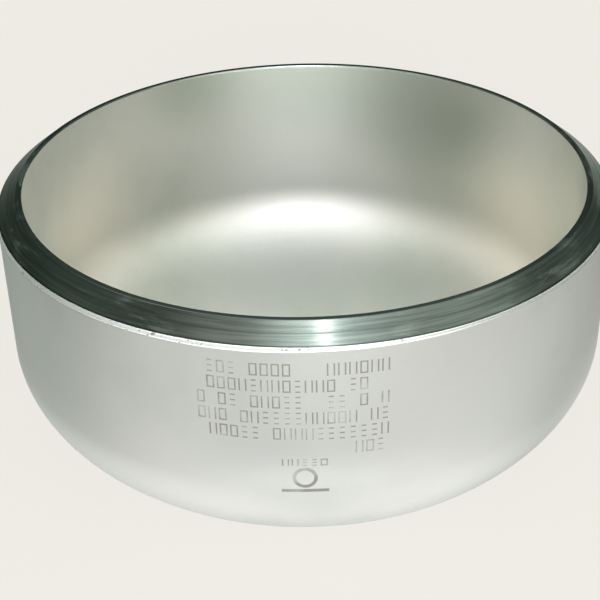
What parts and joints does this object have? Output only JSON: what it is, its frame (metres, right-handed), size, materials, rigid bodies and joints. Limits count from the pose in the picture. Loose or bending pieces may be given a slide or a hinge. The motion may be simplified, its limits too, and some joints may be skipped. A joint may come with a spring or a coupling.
{
  "type": "pipe cap",
  "caption": "Butt-weld end cap that closes a pipe: a straight round flange with a bevelled weld end and an ellipsoidal closed head.",
  "frame": {"origin": "centre of the weld end's face, which is the top of the cap as it stands", "axes": "+Z along the cap's axis, out of the open mouth; the head is below, and X and Y are free because the cap is round"},
  "size_m": [0.1684, 0.1684, 0.089],
  "materials": {
    "stainless_steel": "pickled satin outside and inside, bright turned weld bevel"
  },
  "bodies": {
    "root": {"cap_body": "stainless_steel"}
  },
  "joints": []
}
